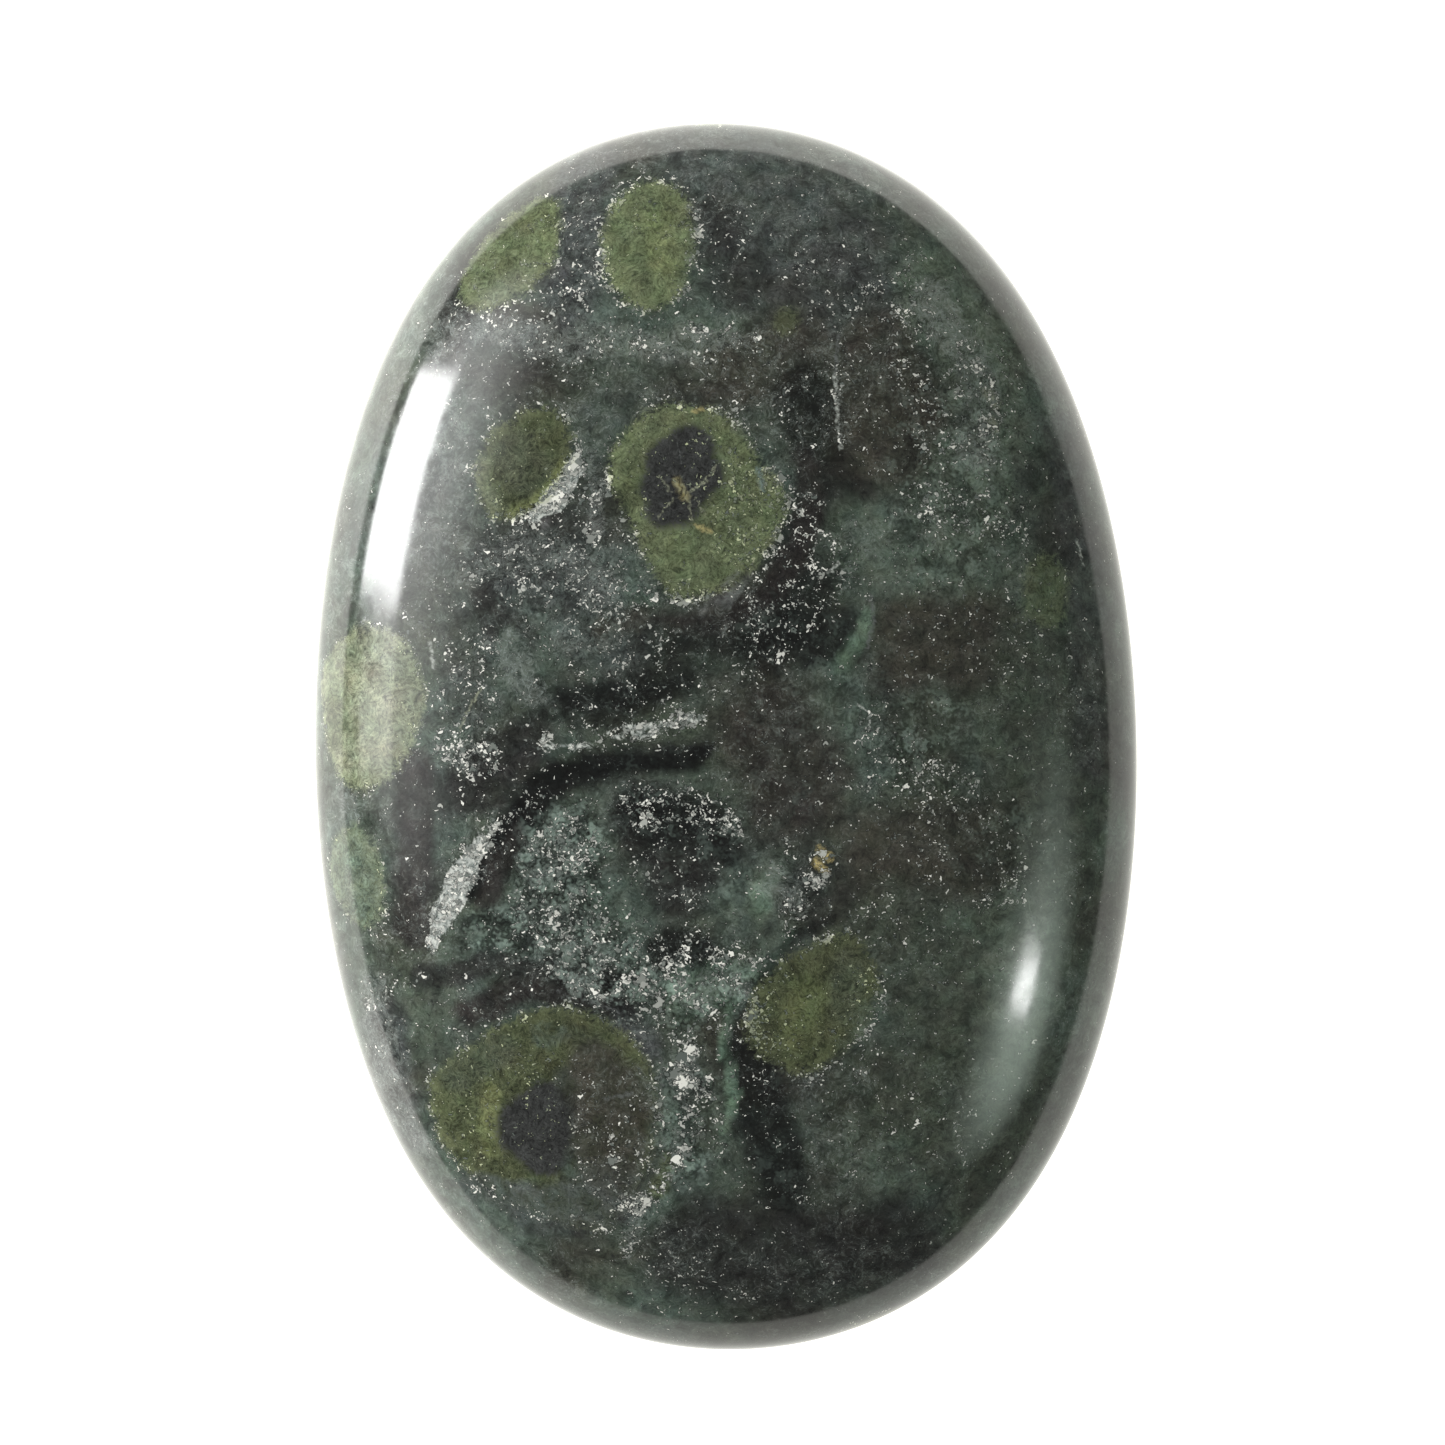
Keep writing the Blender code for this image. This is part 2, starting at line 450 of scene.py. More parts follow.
FROST_STROKES = [
    (0.3, [(590, 175, 30), (577, 240, 22), (570, 310, 25)]),
    (0.6, [(440, 345, 20), (470, 325, 20), (560, 345, 18), (640, 345, 16), (745, 340, 14)]),
    (0.5, [(440, 420, 25), (450, 560, 30)]),
    (0.55, [(500, 560, 30), (560, 545, 20)]),
    (0.8, [(585, 565, 16), (600, 590, 22)]),
    (0.65, [(590, 455, 8), (597, 500, 9), (600, 535, 8)]),
    (0.75, [(505, 640, 12), (515, 665, 20), (528, 690, 16)]),
    (0.5, [(560, 645, 14), (620, 640, 14)]),
    (0.45, [(450, 745, 24), (470, 760, 20)]),
    (0.6, [(550, 860, 36), (550, 930, 44), (610, 985, 26)]),
    (0.3, [(640, 808, 16), (690, 805, 18), (728, 825, 12)]),
    (0.85, [(690, 995, 20), (735, 985, 18)]),
    (0.7, [(775, 880, 18), (800, 905, 14)]),
    (0.65, [(370, 985, 16), (385, 1040, 20), (395, 1100, 16), (425, 1150, 8)]),
    (0.8, [(690, 1060, 14), (695, 1090, 16)]),
    (0.5, [(690, 1130, 20), (665, 1180, 10)]),
    (0.6, [(640, 1215, 12), (630, 1250, 10)]),
    (0.75, [(930, 300, 26), (961, 343, 24), (985, 396, 26), (975, 450, 26)]),
    (0.4, [(850, 540, 16), (920, 520, 20)]),
    (0.4, [(820, 1160, 22), (860, 1080, 14)]),
    (0.3, [(760, 200, 40), (850, 260, 40)]),
    (0.8, [(345, 800, 16), (350, 830, 8)]),
]
GRAIN_STROKES = [
    (1.0, [(560, 850, 42), (560, 925, 48), (620, 985, 35)]),
    (1.0, [(470, 935, 18), (530, 930, 30)]),
    (0.8, [(690, 995, 35), (745, 985, 25)]),
    (0.3, [(610, 810, 25), (700, 830, 30), (770, 890, 30)]),
    (0.5, [(925, 740, 50)]),
    (0.5, [(960, 420, 60), (950, 530, 60)]),
    (0.7, [(690, 1090, 30), (680, 1160, 30)]),
    (0.3, [(580, 590, 60)]),
    (0.4, [(1000, 850, 50)]),
]
VEIN_STROKES = [
    (0.8, [(532, 800, 3), (505, 822, 5), (490, 834, 7)]),
    (1.35, [(478, 847, 11), (464, 866, 14), (452, 893, 15), (440, 919, 11), (427, 947, 5)]),
    (0.7, [(575, 726, 4), (603, 724, 5), (634, 722, 4)]),
    (1.1, [(545, 745, 9), (571, 752, 6), (603, 738, 5), (642, 732, 8), (664, 728, 6), (685, 722, 5),
           (722, 709, 3)]),
    (0.5, [(842, 335, 3), (833, 370, 4), (835, 405, 4), (841, 446, 3)]),
    (0.4, [(589, 458, 4), (586, 481, 5), (598, 511, 5), (601, 534, 4)]),
    (1.25, [(578, 455, 4), (571, 478, 10), (556, 499, 12), (532, 517, 8)]),
    (0.55, [(372, 1000, 8), (400, 985, 7), (430, 978, 4)]),
    (0.45, [(440, 600, 4), (470, 640, 4), (500, 640, 3)]),
    (0.7, [(684, 1072, 8), (703, 1088, 8)]),
    (0.6, [(638, 1206, 6), (648, 1197, 4)]),
    (0.5, [(614, 1140, 5), (620, 1175, 6), (626, 1210, 6)]),
]


def strongest(strokes):
    most = np.zeros(len(canvas))
    for strength, stroke in strokes:
        most = np.maximum(most, strength * covered(stroke))
    return most


# What lies everywhere, also where there is no stroke.
crystals_around = 0.1 + 0.18 * noise_at(canvas, grain=5.0, seed=11.0)
frost_around = 0.35 * noise_at(canvas, grain=4.0, seed=23.0)
grains_around = 0.2 * smooth(2.0 * noise_at(canvas, grain=7.0, seed=17.0) - 0.9)

# Fewer crystals show on the rounded edge.
EDGE_FROM = 1.5  # mm under the top
EDGE_OVER = 3.0  # mm, from there down
EDGE_LOSES = 0.65  # share of the crystals
left_on_edge = 1.0 - EDGE_LOSES * smooth((under_top - EDGE_FROM) / EDGE_OVER)

crystals = np.maximum(crystals_around, strongest(CRYSTAL_STROKES)) * left_on_edge
frost = np.maximum(frost_around, strongest(FROST_STROKES))
grains = np.maximum(grains_around, strongest(GRAIN_STROKES))
keep("minerals", np.stack([crystals, frost, grains], axis=1))
keep("veins", strongest(VEIN_STROKES))
print("crystal, frost, grain and vein strokes:",
      [len(strokes) for strokes in (CRYSTAL_STROKES, FROST_STROKES, GRAIN_STROKES, VEIN_STROKES)])

# %% [markdown]
# ## The orbs
# An orb is a ball of fine needles that grew from a centre, and the sawn face cuts through it. Each
# one of the face is a closed outline of a few places, rounded by a spline. The mesh keeps how far
# inside the outline each point lies, in mm, and how far inside the dark heart. A distance is
# smooth, so nodes can later cut it sharply and roughen the cut. Below the face the balls close, and
# other balls, placed freely, show on the sides and the underside.

# %% Outlines of the orbs
# The edge is a ring of pixels. The heart, where an orb shows one, is a few overlapping discs, each a
# pixel and a radius. The crystals are how thickly they crowd along the edge.
ORBS = {
    "eye": {
        "edge": [
            (608, 468), (613, 446), (624, 430), (640, 414), (665, 405), (700, 406), (728, 416), (750, 438),
            (765, 466), (783, 488), (787, 508), (779, 530), (766, 552), (752, 572), (733, 583), (712, 593),
            (688, 599), (668, 596), (655, 578), (643, 553), (633, 528), (620, 505), (611, 488),
        ],
        "heart": [
            (690, 450, 23), (671, 463, 23), (703, 476, 20), (661, 487, 19), (666, 508, 18), (683, 509, 16),
            (690, 490, 20),
        ],
        "colour": "leaf",
        "crystals": 0.45,
    },
    "upper": {
        "edge": [
            (602, 242), (606, 216), (622, 196), (641, 183), (666, 182), (684, 192), (692, 215), (696, 245),
            (690, 275), (676, 300), (656, 312), (634, 308), (616, 293), (604, 270),
        ],
        "colour": "leaf",
        "crystals": 0.75,
    },
    "upper_left": {
        "edge": [
            (460, 300), (462, 270), (478, 240), (505, 210), (535, 193), (557, 200), (562, 225), (556, 258),
            (540, 282), (508, 305), (483, 312),
        ],
        "colour": "leaf",
        "crystals": 0.35,
    },
    "crescent": {
        "edge": [
            (476, 495), (476, 466), (485, 441), (502, 424), (526, 409), (555, 411), (570, 436), (570, 462),
            (557, 488), (537, 508), (515, 518), (490, 516),
        ],
        "colour": "olive",
        "crystals": 0.4,
    },
    "left_edge": {
        "edge": [
            (296, 700), (306, 650), (335, 630), (380, 628), (408, 645), (425, 690), (419, 728), (393, 775),
            (363, 789), (325, 775),
        ],
        "colour": "straw",
        "crystals": 0.3,
    },
    "left_low": {
        "edge": [
            (305, 870), (320, 830), (345, 820), (370, 838), (385, 880), (380, 915), (360, 932), (330, 915),
        ],
        "colour": "fern",
        "crystals": 0.3,
    },
    "big_low": {
        "edge": [
            (430, 1092), (434, 1074), (447, 1060), (470, 1044), (496, 1027), (522, 1014), (556, 1006),
            (594, 1013), (622, 1032), (648, 1062), (656, 1110), (650, 1165), (628, 1210), (589, 1228),
            (530, 1212), (468, 1172), (440, 1135),
        ],
        "heart": [(546, 1104, 22), (532, 1128, 34), (546, 1146, 28), (562, 1118, 24)],
        "colour": "olive",
        "crystals": 0.45,
    },
    "right_low": {
        "edge": [
            (815, 943), (850, 933), (869, 950), (880, 978), (874, 1012), (856, 1042), (828, 1064),
            (796, 1074), (764, 1060), (745, 1040), (747, 1012), (762, 982), (787, 958),
        ],
        "colour": "olive",
        "crystals": 0.35,
    },
    "faint_right": {
        "edge": [(1022, 590), (1032, 560), (1052, 556), (1068, 580), (1066, 615), (1050, 628), (1030, 618)],
        "colour": "leaf",
        "crystals": 0.0,
    },
    "dot": {
        "edge": [(773, 320), (780, 309), (793, 309), (799, 320), (792, 331), (779, 331)],
        "colour": "olive",
        "crystals": 0.0,
    },
}
# Patches of another colour on the orbs, and one patch of painted reflection on the left orb.
ORB_STROKES = [
    ("lime", 0.35, [(660, 225, 14), (662, 260, 16)]),
    ("straw", 0.3, [(606, 216, 6), (603, 242, 6), (608, 270, 6)]),
    ("olive", 0.6, [(505, 232, 14), (540, 218, 12)]),
    ("straw", 0.45, [(490, 300, 9), (512, 285, 12)]),
    ("moss", 0.5, [(515, 455, 22), (530, 475, 24)]),
    ("straw", 0.55, [(482, 458, 8), (480, 490, 9), (500, 512, 7)]),
    ("lime", 0.8, [(566, 462, 5), (553, 487, 6), (534, 506, 6), (515, 512, 6)]),
    ("olive", 0.6, [(640, 470, 12), (630, 500, 10)]),
    # Painted reflection: this pale cream patch on the left orb lies where the second window is mirrored.
    ("cream", 0.2, [(370, 680, 26), (378, 730, 26), (350, 765, 18)]),
    ("olive", 0.7, [(334, 700, 8), (336, 745, 7)]),
    ("lime", 0.5, [(492, 1092, 9), (487, 1120, 10), (494, 1150, 9)]),
    ("moss", 0.6, [(455, 1075, 16), (500, 1050, 16)]),
    ("lime", 0.3, [(805, 1000, 22), (800, 1030, 18)]),
    ("moss", 0.5, [(850, 965, 18), (845, 1010, 16)]),
]
# Where an orb lies under a film of ground, and how much of it the ground hides.
FILM_STROKES = [
    (0.85, [(590, 1055, 22), (618, 1100, 40), (612, 1160, 36)]),
    (0.75, [(610, 1195, 34), (545, 1212, 26), (475, 1184, 10)]),
    (0.45, [(1045, 590, 45)]),
    (0.5, [(880, 1000, 14), (866, 1036, 16), (842, 1066, 12)]),
    (0.8, [(575, 1075, 22), (600, 1130, 26), (580, 1185, 24)]),
    (0.45, [(540, 1030, 10), (585, 1030, 10)]),
    (0.4, [(785, 320, 20)]),
    (0.25, [(500, 260, 50)]),
    (0.5, [(740, 420, 14), (762, 448, 12)]),
    (0.4, [(690, 200, 8), (698, 240, 9), (690, 285, 9)]),
]
# Balls on the sides and the underside: middle and radius in mm, share of it the heart takes, colour.
HIDDEN_ORBS = [
    ((-8.5, 15.0, 0.5), 5.2, 0.4, "leaf"),
    ((7.5, 18.5, 0.0), 4.0, 0.0, "olive"),
    ((9.5, 3.0, -0.5), 5.6, 0.45, "olive"),
    ((-6.0, -2.5, 0.5), 4.2, 0.0, "leaf"),
    ((3.0, -15.5, -0.5), 6.0, 0.4, "leaf"),
    ((-12.5, -16.0, 2.5), 4.0, 0.0, "leaf"),
    ((18.5, -9.5, 4.0), 3.6, 0.0, "olive"),
    ((16.0, 14.5, 4.5), 3.2, 0.35, "olive"),
    ((-1.0, 28.5, 4.5), 3.4, 0.0, "leaf"),
    ((7.0, -27.5, 4.5), 3.6, 0.35, "olive"),
    ((-19.0, 6.5, 3.5), 3.0, 0.0, "leaf"),
]
HIDDEN_CRYSTALS = 0.5  # how thickly crystals crowd along their edges
ORB_CLOSES = 0.75  # mm that a face orb's outline draws in for each mm further down
CLOSES_BELOW = 3.5  # mm under the top, from where it does
ROUNDING = 4  # places along each span of a rounded outline
FAR = 6.0  # mm outside, wherever there is no orb or no heart


def rounded(corners):
    """A closed Catmull-Rom curve through the corners."""
    curve = []
    for turn in range(len(corners)):
        a, b, c, d = (corners[(turn + step) % len(corners)] for step in (-1, 0, 1, 2))
        for step in range(ROUNDING):
            t = step / ROUNDING
            curve.append(0.5 * (2 * b + (c - a) * t + (2 * a - 5 * b + 4 * c - d) * t**2
                                + (3 * b - a - 3 * c + d) * t**3))
    return np.array(curve)


def depth_inside(curve):
    """How far each steady place lies inside a closed curve, in mm. Outside it is negative."""
    nearest = np.full(len(steady), np.inf)
    crossings = np.zeros(len(steady), int)
    x, y = steady[:, 0], steady[:, 1]
    for start, end in zip(curve, np.roll(curve, -1, axis=0)):
        step = end - start
        along = np.clip((steady[:, :2] - start) @ step / max(TINY, float(step @ step)), 0.0, 1.0)
        off = steady[:, :2] - start - along[:, None] * step
        nearest = np.minimum(nearest, np.hypot(off[:, 0], off[:, 1]))
        rises = (start[1] > y) != (end[1] > y)
        meets = start[0] + (y - start[1]) * step[0] / (step[1] or TINY)
        crossings += rises & (x < meets)
    return np.where(crossings % 2 == 1, nearest, -nearest)


def paint_orb(inside, heart, rim_crystals, name):
    """Adds an orb to the layers wherever it lies nearer than the orbs painted before it."""
    closer = inside > orb_layer[:, 0]
    orb_layer[closer] = np.stack([inside, heart, np.full(len(inside), rim_crystals)], axis=1)[closer]
    body_layer[closer] = linear(PALETTE[name])


orb_layer = np.tile([-FAR, -FAR, 0.0], (len(steady), 1))
body_layer = np.zeros((len(steady), 3))
sinks = np.maximum(0.0, under_top - CLOSES_BELOW) * ORB_CLOSES
for orb in ORBS.values():
    edge = on_stone(*np.array(orb["edge"], float).T)[:, :2]
    inside = depth_inside(rounded(edge)) - sinks
    heart = np.full(len(steady), -FAR)
    for across, down, radius in orb.get("heart", []):
        away = steady[:, :2] - on_stone(across, down)[:2]
        heart = np.maximum(heart, radius * pixel / MM - np.hypot(away[:, 0], away[:, 1]))
    paint_orb(inside, heart, orb["crystals"], orb["colour"])
for middle, radius, heart_share, name in HIDDEN_ORBS:
    away = np.linalg.norm(canvas - middle, axis=1)
    heart = radius * heart_share - away if heart_share else np.full(len(canvas), -FAR)
    paint_orb(radius - away, heart, HIDDEN_CRYSTALS, name)
for name, strength, stroke in ORB_STROKES:
    body_layer = mixed(body_layer, np.array(linear(PALETTE[name])), strength * covered(stroke, steady))
keep("orb", orb_layer)
keep("body", body_layer)
keep("film", strongest(FILM_STROKES))
print("orbs on the face and hidden:", len(ORBS), len(HIDDEN_ORBS))

# %% [markdown]
# ## Polished jasper
# Jasper is fine quartz, stained by other minerals. Quartz bends light by 1.54, and the last
# polishing powder leaves it almost as smooth as glass. The eye reads it by three things: sharp
# reflections on the rounded edge, colour that lies in the surface and not under it, and crystals
# that stand out white from small dark pockets.
# One function adds a node with its settings and links. All patterns are measured in mm.

# %% Node helper
jasper = bpy.data.materials.new("polished kambaba jasper")
jasper.use_nodes = True
nodes = jasper.node_tree.nodes
links = jasper.node_tree.links
nodes.clear()


def add(kind, inputs, output=0, **settings):
    """Adds a node, gives it its settings, fills its inputs with values or links, returns an output."""
    new = nodes.new("ShaderNode" + kind)
    for name, value in settings.items():
        setattr(new, name, value)
    for name, value in inputs.items():
        if isinstance(value, bpy.types.NodeSocket):
            links.new(value, new.inputs[name])
        else:
            new.inputs[name].default_value = value
    return new.outputs[output] if new.outputs else new


def colour(name):
    return (*linear(PALETTE[name]), 1.0)


# %% Places and noises, from swirls 1 mm across down to fuzz of a sixth of that
place = add("VectorMath", {0: add("TexCoord", {}, "Object"), "Scale": 1.0 / MM}, operation="SCALE")
swirl = add("TexNoise", {"Vector": place, "Scale": 0.9, "Detail": 2.0, "Roughness": 0.6}, "Color")
bend = add("VectorMath", {0: swirl, 1: (0.5, 0.5, 0.5)}, operation="SUBTRACT")
bent = add("VectorMath", {0: bend, 1: (1.2, 1.2, 1.2), 2: place}, operation="MULTIPLY_ADD")
smear = add("TexNoise", {"Vector": bent, "Scale": 1.1, "Detail": 4.0, "Roughness": 0.72})
fuzz = add("TexNoise", {"Vector": bent, "Scale": 6.0, "Detail": 2.0, "Roughness": 0.8})
weave = add("TexNoise", {"Vector": bent, "Scale": 2.7, "Detail": 2.0, "Roughness": 0.65})
jitter = add("TexNoise", {"Vector": place, "Scale": 5.0, "Detail": 0.0}, "Color")
jitter = add("VectorMath", {0: jitter, 1: (0.5, 0.5, 0.5)}, operation="SUBTRACT")
shaken = add("VectorMath", {0: jitter, 1: (0.4, 0.4, 0.4), 2: place}, operation="MULTIPLY_ADD")
broad = add("MapRange", {"Value": smear, "From Min": 0.3, "From Max": 0.7, "To Min": -0.22, "To Max": 0.22})
fine = add("MapRange", {"Value": fuzz, "From Min": 0.25, "From Max": 0.75, "To Min": -0.24, "To Max": 0.24})
wobble = add("Math", {0: broad, 1: fine}, operation="ADD")

# %% Layers that the mesh carries
minerals = add("SeparateXYZ", {0: add("Attribute", {}, "Vector", attribute_name="minerals")}).node.outputs
orb_parts = add("SeparateXYZ", {0: add("Attribute", {}, "Vector", attribute_name="orb")}).node.outputs
crystal_layer, frost_layer, grain_layer = minerals[0], minerals[1], minerals[2]
inside_mm, heart_mm, rim_crystals = orb_parts[0], orb_parts[1], orb_parts[2]
vein_layer = add("Attribute", {}, "Fac", attribute_name="veins")
film_layer = add("Attribute", {}, "Fac", attribute_name="film")
ground_colour = add("Attribute", {}, "Vector", attribute_name="ground")
body_colour = add("Attribute", {}, "Vector", attribute_name="body")

# %% Ground, smeared light and dark, and mixed by the swirls towards other minerals
streaked = add("MapRange", {
    "Value": smear, "From Min": 0.32, "From Max": 0.7, "To Min": 0.45, "To Max": 1.65,
})
contrast = add("Math", {0: crystal_layer, 1: 3.0, 2: 1.2}, operation="MULTIPLY_ADD")
speckled = add("Math", {0: fuzz, 1: 0.5}, operation="SUBTRACT")
speckled = add("Math", {0: speckled, 1: contrast, 2: 1.0}, operation="MULTIPLY_ADD")
shade = add("Math", {0: streaked, 1: speckled}, operation="MULTIPLY")
hue = add("VectorMath", {0: bend, 1: (0.3, 0.2, 0.2), 2: (1.02, 1.0, 0.96)}, operation="MULTIPLY_ADD")
ground_shaded = add("VectorMath", {0: ground_colour, "Scale": shade}, operation="SCALE")
ground_shaded = add("VectorMath", {0: ground_shaded, 1: hue}, operation="MULTIPLY")

# %% Frost, a pale felt of needles that comes and goes with the smears, and its longest threads
frost_here = add("Math", {0: smear, 1: 1.6, 2: frost_layer}, operation="MULTIPLY_ADD")
frost_here = add("Math", {0: fuzz, 1: 1.0, 2: frost_here}, operation="MULTIPLY_ADD")
frost_mask = add("MapRange", {"Value": frost_here, "From Min": 1.7, "From Max": 2.5, "To Max": 0.75})
frosted_ground = add("Mix", {0: frost_mask, "A": ground_shaded, "B": colour("frost")}, 2, data_type="RGBA")
thread = add("Math", {0: weave, 1: 0.5}, operation="SUBTRACT")
thread = add("Math", {0: thread}, operation="ABSOLUTE")
thread = add("MapRange", {"Value": thread, "From Min": 0.004, "From Max": 0.04, "To Min": 1.0, "To Max": 0.0})
thread_room = add("MapRange", {"Value": frost_here, "From Min": 1.45, "From Max": 2.2, "To Max": 0.55})
thread_mask = add("Math", {0: thread, 1: thread_room}, operation="MULTIPLY")
threaded = add("Mix", {0: thread_mask, "A": frosted_ground, "B": colour("thread")}, 2, data_type="RGBA")

# %% Grains, ragged cells 0.9 mm across, each its own shade, with dark seams
GRAIN_PER_MM = 1.15
cell_place = add("VectorMath", {0: jitter, 1: (0.95, 0.95, 0.95), 2: bent}, operation="MULTIPLY_ADD")
cell = add("TexVoronoi", {"Vector": cell_place, "Scale": GRAIN_PER_MM})
cell_shade = add("SeparateColor", {0: cell.node.outputs["Color"]})
middle_out = add("MapRange", {
    "Value": cell, "From Min": 0.3, "From Max": 0.68, "To Min": 1.25, "To Max": 0.3,
})
filled = add("MapRange", {"Value": cell, "From Min": 0.25, "From Max": 0.75, "To Min": 0.5, "To Max": 0.0})
filled = add("Math", {0: filled, 1: cell_shade}, operation="MULTIPLY")
cell_body = add("Mix", {0: filled, "A": threaded, "B": colour("grain")}, 2, data_type="RGBA")
cell_shade = add("MapRange", {"Value": cell_shade, "To Min": 0.65, "To Max": 1.3})
cell_shade = add("Math", {0: cell_shade, 1: middle_out}, operation="MULTIPLY")
grained = add("VectorMath", {0: cell_body, "Scale": cell_shade}, operation="SCALE")
ground_done = add("Mix", {0: grain_layer, "A": threaded, "B": grained}, 2, data_type="RGBA")

# %% Orbs
inside = add("Math", {0: inside_mm, 1: wobble}, operation="ADD")
orb_mask = add("MapRange", {"Value": inside, "From Min": -0.26, "From Max": 0.34},
               interpolation_type="SMOOTHSTEP")
film_here = add("Math", {0: smear, 1: 1.2, 2: film_layer}, operation="MULTIPLY_ADD")
seen_through = add("MapRange", {
    "Value": film_here, "From Min": 0.75, "From Max": 1.45, "To Min": 1.0, "To Max": 0.05,
})
orb_mask = add("Math", {0: orb_mask, 1: seen_through}, operation="MULTIPLY")
body_shade = add("MapRange", {
    "Value": smear, "From Min": 0.37, "From Max": 0.63, "To Min": 0.62, "To Max": 1.4,
})
body_fuzz = add("MapRange", {"Value": fuzz, "From Min": 0.3, "From Max": 0.7, "To Min": 0.4, "To Max": 1.65})
body_shade = add("Math", {0: body_shade, 1: body_fuzz}, operation="MULTIPLY")
orb_body = add("VectorMath", {0: body_colour, "Scale": body_shade}, operation="SCALE")
orb_body = add("VectorMath", {0: orb_body, 1: hue}, operation="MULTIPLY")
orb_threads = add("Math", {0: thread, 1: 0.22}, operation="MULTIPLY")
orb_body = add("Mix", {0: orb_threads, "A": orb_body, "B": colour("orb_thread")}, 2, data_type="RGBA")
fringe = add("MapRange", {"Value": inside, "From Min": 0.15, "From Max": 0.75, "To Min": 1.0, "To Max": 0.0})
fringe_here = add("MapRange", {"Value": smear, "From Min": 0.4, "From Max": 0.62, "To Max": 0.5})
fringe = add("Math", {0: fringe, 1: fringe_here}, operation="MULTIPLY")
orb_body = add("Mix", {0: fringe, "A": orb_body, "B": colour("fringe")}, 2, data_type="RGBA")
heart_inside = add("Math", {0: wobble, 1: 0.8, 2: heart_mm}, operation="MULTIPLY_ADD")
heart_mask = add("MapRange", {"Value": heart_inside, "From Min": -0.3, "From Max": 0.2},
                 interpolation_type="SMOOTHSTEP")
heart_body = add("VectorMath", {0: linear(PALETTE["heart"]), "Scale": body_shade}, operation="SCALE")
orb_colour = add("Mix", {0: heart_mask, "A": orb_body, "B": heart_body}, 2, data_type="RGBA")
with_orbs = add("Mix", {0: orb_mask, "A": ground_done, "B": orb_colour}, 2, data_type="RGBA")

# %% Veins, crowds of pale crystals with dark gaps
vein_here = add("Math", {0: fuzz, 1: 1.3, 2: vein_layer}, operation="MULTIPLY_ADD")
vein_here = add("Math", {0: weave, 1: 1.6, 2: vein_here}, operation="MULTIPLY_ADD")
vein_mask = add("MapRange", {"Value": vein_here, "From Min": 2.2, "From Max": 2.6})
vein_room = add("Math", {0: vein_layer, 1: 2.0}, operation="MULTIPLY", use_clamp=True)
vein_mask = add("Math", {0: vein_mask, 1: vein_room}, operation="MULTIPLY")
vein_tone = add("MapRange", {"Value": weave, "From Min": 0.4, "From Max": 0.66})
vein_tone = add("Mix", {0: vein_tone, "A": colour("dull_vein"), "B": colour("bright_vein")}, 2,
                data_type="RGBA")
with_veins = add("Mix", {0: vein_mask, "A": with_orbs, "B": vein_tone}, 2, data_type="RGBA")

# %% [markdown]
# ## Hairs and spots
# A few marks are finer than the mesh can carry: cracks in the heart of the large orb, the yellow
# grain that they start from, and a painted highlight, the glint along a hairline flaw. Each is a
# short line on the stone, and a node chain measures the distance from it.

# %% Hairs and spots
HAIRS = [
    # start and end pixel, half width in pixels, colour, strength
    ((689, 492), (706, 481), 1.5, "cream", 0.8),
    ((706, 481), (716, 465), 1.4, "cream", 0.75),
    ((688, 493), (691, 519), 1.3, "cream", 0.65),
    ((694, 497), (705, 515), 1.0, "cream", 0.5),
    ((674, 499), (658, 517), 1.1, "cream", 0.55),
    ((671, 492), (658, 475), 1.3, "cream", 0.5),
    ((676, 436), (681, 464), 0.9, "ash", 0.6),
    ((677, 481), (685, 497), 4.5, "amber", 0.6),
    ((675, 480), (679, 490), 1.8, "cream", 0.8),
    ((683, 485), (687, 499), 1.8, "cream", 0.7),
    ((697, 526), (710, 531), 2.4, "gold", 0.5),
    ((694, 411), (702, 409), 2.4, "gold", 0.5),
    ((759, 470), (763, 490), 3.2, "sky", 0.65),
    ((724, 585), (738, 573), 3.6, "ash", 0.6),
    ((682, 603), (712, 595), 2.4, "ash", 0.5),
    ((820, 850), (830, 858), 4.0, "gold", 0.9),
    ((816, 862), (826, 872), 4.0, "gold", 0.8),
    ((813, 877), (817, 884), 2.6, "chalk", 0.9),
    ((441, 1066), (468, 1046), 1.4, "cream", 0.8),
    ((468, 1046), (520, 1024), 1.4, "cream", 0.7),
    ((556, 990), (618, 1012), 1.5, "ash", 0.8),
    ((640, 1030), (661, 1058), 1.5, "ash", 0.8),
    ((661, 1058), (664, 1160), 1.5, "ash", 0.7),
    ((424, 955), (366, 1012), 2.0, "ash", 0.8),
    ((986, 393), (996, 404), 5.5, "cream", 0.5),
    ((990, 420), (995, 430), 4.5, "cream", 0.5),
    ((982, 435), (982, 437), 3.0, "chalk", 0.8),
    ((994, 458), (988, 500), 2.0, "ash", 0.7),
    ((1077, 540), (1084, 566), 1.6, "chalk", 0.7),
    ((830, 572), (838, 563), 1.8, "chalk", 0.9),
    ((871, 596), (874, 622), 1.8, "ash", 0.9),
    ((874, 622), (867, 648), 1.8, "ash", 0.8),
    ((838, 335), (835, 375), 1.8, "ash", 0.9),
    ((835, 375), (840, 448), 2.0, "chalk", 0.8),
    # Painted highlight: the pale curved line of this hairline flaw is the glint along the crack.
    ((858, 704), (870, 714), 1.3, "chalk", 0.9),
    ((870, 714), (869, 728), 1.3, "chalk", 0.9),
    ((481, 689), (467, 712), 1.4, "cream", 0.7),
    ((467, 712), (460, 730), 1.4, "cream", 0.6),
    ((430, 642), (434, 668), 2.2, "chalk", 0.6),
    ((606, 1099), (632, 1093), 2.4, "ash", 0.6),
]
hair_place = add("VectorMath", {0: jitter, 1: (0.25, 0.25, 0.25), 2: place}, operation="MULTIPLY_ADD")
hair_broken = add("MapRange", {"Value": fuzz, "From Min": 0.36, "From Max": 0.58, "To Min": 0.15})
HAIR_REACH = 1.5  # half widths from its line at which a hair has faded out
HAIR_FADE = 1.2  # half widths over which it fades
hair_masks = {}
